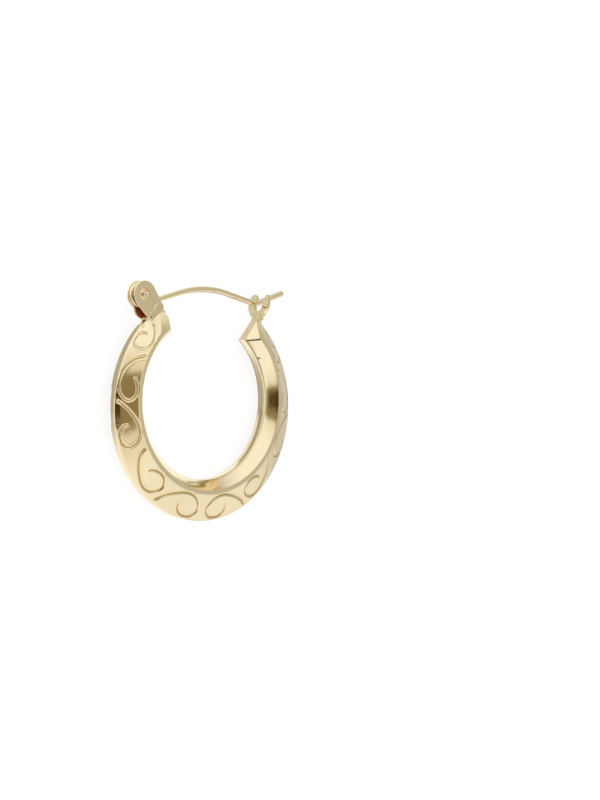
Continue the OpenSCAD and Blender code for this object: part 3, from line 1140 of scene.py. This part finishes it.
# The floor as the gold sees it: inside and outside the hoop at its middle, in a strip that the
# inner band's lower part looks at, behind the catch, and a painted shadow close under the hoop
FLOOR_GREY = (0.50, 0.49, 0.44)
FLOOR_STRIP = (0.42, 0.40, 0.30)
FLOOR_CATCH = (0.72, 0.71, 0.68)
FLOOR_SHADOW_UNDER = (0.32, 0.27, 0.11)
# How bright the white floor and the world's light are
FLOOR_LIGHT = 0.84
WORLD_LIGHT = 1.05


def emitter(name):
    """A material that only gives light: the material, its tree and its emission node."""
    material = bpy.data.materials.new(name)
    material.use_nodes = True
    tree = material.node_tree
    tree.nodes.clear()
    light = node(tree, "ShaderNodeEmission")
    output = node(tree, "ShaderNodeOutputMaterial")
    tree.links.new(light.outputs[0], output.inputs[0])
    return material, tree, light


def make_dome():
    """A tent round the object: bright above, grey at the horizon, with the soft cards in it."""
    bpy.ops.mesh.primitive_ico_sphere_add(subdivisions=5, radius=TENT_R)
    dome = bpy.context.active_object
    dome.name = "light_tent"
    dome.data.shade_smooth()
    material, tree, light = emitter("tent_light")
    spot = node(tree, "ShaderNodeTexCoord").outputs["Object"]
    way = node(tree, "ShaderNodeVectorMath", (spot,), operation="NORMALIZE").outputs[0]
    x, y, z = (dot(tree, way, axis) for axis in view_axes())
    angle = maths(tree, "DEGREES", maths(tree, "ARCCOSINE", z))
    scale = maths(tree, "DIVIDE", angle, maths(tree, "MAXIMUM", distance(tree, x, y), 1e-5))
    u = product(tree, x, scale)
    v = product(tree, y, scale)
    height = dot(tree, way, (0, 0, 1))
    colour = blend(tree, fade(tree, height, *HORIZON_FADE), (*BRIGHT, 1), (*HORIZON, 1))
    for right_by, up_by, half_w, half_h, power, soft, card in CARDS:
        far = 0
        for value, centre, half in ((u, right_by, half_w), (v, up_by, half_h)):
            part = maths(tree, "DIVIDE", maths(tree, "SUBTRACT", value, centre), half)
            part = maths(tree, "POWER", maths(tree, "ABSOLUTE", part), power)
            far = maths(tree, "ADD", far, part)
        far = maths(tree, "POWER", far, 1 / power)
        colour = blend(tree, fade(tree, far, 1 - soft, 1 + soft), colour, (*card, 1))
    tree.links.new(colour, light.inputs["Color"])
    dome.data.materials.append(material)
    reflected_only(dome)


def make_floor_card():
    """The floor's tones as the gold sees them, in zones of millimetres on the floor, one a painted
    shadow.
    """
    bpy.ops.mesh.primitive_plane_add(size=1.1, location=(0, 0, 0.00004))
    card = bpy.context.active_object
    card.name = "floor_tones"
    material, tree, light = emitter("floor_tones")
    spot = node(tree, "ShaderNodeTexCoord").outputs["Object"]
    axes = node(tree, "ShaderNodeSeparateXYZ", (spot,))
    x, y = (maths(tree, "DIVIDE", axes.outputs[i], MM) for i in (0, 1))
    away = distance(tree, x, y)
    # The strip curves with the hoop
    bow = maths(tree, "POWER", maths(tree, "SUBTRACT", 0.4, y), 2)
    curve = maths(tree, "MULTIPLY_ADD", bow, 0.055, maths(tree, "SUBTRACT", x, 7.0))
    off_strip = maths(tree, "ABSOLUTE", curve)

    def zone(*edges):
        return product(tree, *(fade(tree, value, low, high) for value, low, high in edges))

    inside = zone((x, 7.0, 6.0), (y, -0.2, -1.2), (y, 1.0, 9.0))
    outside = zone((x, -9.6, -8.8), (y, -1.0, -9.0), (y, 9.5, 11.0))
    strip = zone((off_strip, 0.45, 0.65), (y, -0.2, 0.2), (y, -4.6, -5.2))
    behind_catch = zone((y, 8.4, 7.4), (x, 1.0, -2.0))
    # Painted shadow in the gap under the hoop
    under = zone((away, 8.7, 8.4), (away, 11.8, 12.3), (y, 7.0, 8.0))
    far_right = zone((x, 14.0, 12.6))
    colour = (*BRIGHT, 1)
    for factor, tone in (
        (maths(tree, "ADD", inside, outside), FLOOR_GREY),
        (strip, FLOOR_STRIP),
        (behind_catch, FLOOR_CATCH),
        (under, FLOOR_SHADOW_UNDER),
        (far_right, HORIZON),
    ):
        colour = blend(tree, factor, colour, (*tone, 1))
    tree.links.new(colour, light.inputs["Color"])
    card.data.materials.append(material)
    reflected_only(card)


def make_stage():
    """The white floor, the light of the world, the tent and the floor's tones."""
    bpy.ops.mesh.primitive_plane_add(size=2, location=(0, 0, 0))
    floor = bpy.context.active_object
    floor.name = "floor"
    material = bpy.data.materials.new("floor_white")
    material.use_nodes = True
    shader = material.node_tree.nodes["Principled BSDF"]
    shader.inputs["Base Color"].default_value = (0.2, 0.2, 0.2, 1)
    shader.inputs["Roughness"].default_value = 0.9
    shader.inputs["Specular IOR Level"].default_value = 0
    shader.inputs["Emission Color"].default_value = (1, 1, 1, 1)
    shader.inputs["Emission Strength"].default_value = FLOOR_LIGHT
    floor.data.materials.append(material)
    world = bpy.data.worlds.new("studio")
    bpy.context.scene.world = world
    world.use_nodes = True
    background = world.node_tree.nodes["Background"]
    background.inputs["Color"].default_value = (1, 1, 1, 1)
    background.inputs["Strength"].default_value = WORLD_LIGHT
    make_dome()
    make_floor_card()
    bpy.context.scene.view_settings.view_transform = "Standard"


make_camera()
make_stage()
gold_hoop = gold("hoop_gold", 0.12, worked=True)
gold_wire = gold("wire_gold", 0.14, worked=True)
hoop_pieces = (front_shell, back_shell, hinge_bracket, catch_plate, hinge_solder, catch_solder)
pieces = [(build, "hoop", "hoop_body", "hoop_gold", gold_hoop) for build in hoop_pieces]
pieces += [
    (hinge_rivet, "hinge_rivet", "hoop_body", "rivet_gold", gold_wire),
    (ear_wire, "ear_wire", "wire_body", "wire_gold", gold_wire),
]
for build, cad_node, body, slot, material in pieces:
    piece = build()
    piece.data.materials.append(material)
    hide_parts(cad_node)
    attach(piece, body)
